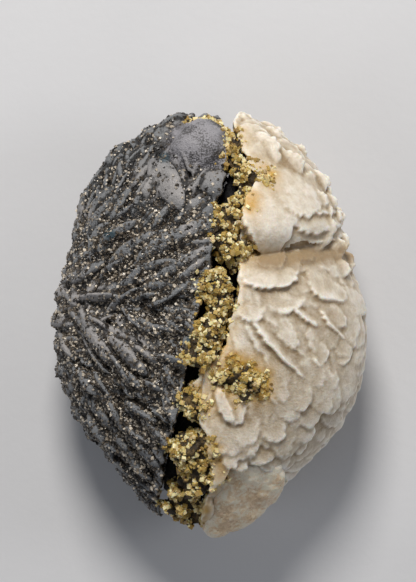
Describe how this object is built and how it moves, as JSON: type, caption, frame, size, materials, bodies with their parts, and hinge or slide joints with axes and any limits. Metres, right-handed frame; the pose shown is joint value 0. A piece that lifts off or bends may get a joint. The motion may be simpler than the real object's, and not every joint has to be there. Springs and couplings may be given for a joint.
{
  "type": "calcite with boulangerite specimen",
  "caption": "Egg-shaped mineral specimen of bladed calcite, pale on one side and grey on the other, parted by a dark groove with crusts of honey-coloured rhombs. It lies on its flat back.",
  "frame": {"origin": "middle of the specimen's outline, at the height of the flat back that it lies on", "axes": "+Z out of the showing side, +Y towards the top of the specimen, +X towards its pale half"},
  "size_m": [0.063, 0.0852, 0.0415],
  "materials": {
    "pale_calcite": "satin",
    "grey_calcite": "satin",
    "boulangerite": "matte",
    "siderite": "gloss"
  },
  "bodies": {
    "root": {"pale_calcite": "pale_calcite", "grey_calcite": "grey_calcite", "boulangerite_seam": "boulangerite", "siderite_top": "siderite", "siderite_upper": "siderite", "siderite_middle": "siderite", "siderite_patch": "siderite", "siderite_low": "siderite", "siderite_foot": "siderite"}
  },
  "joints": []
}
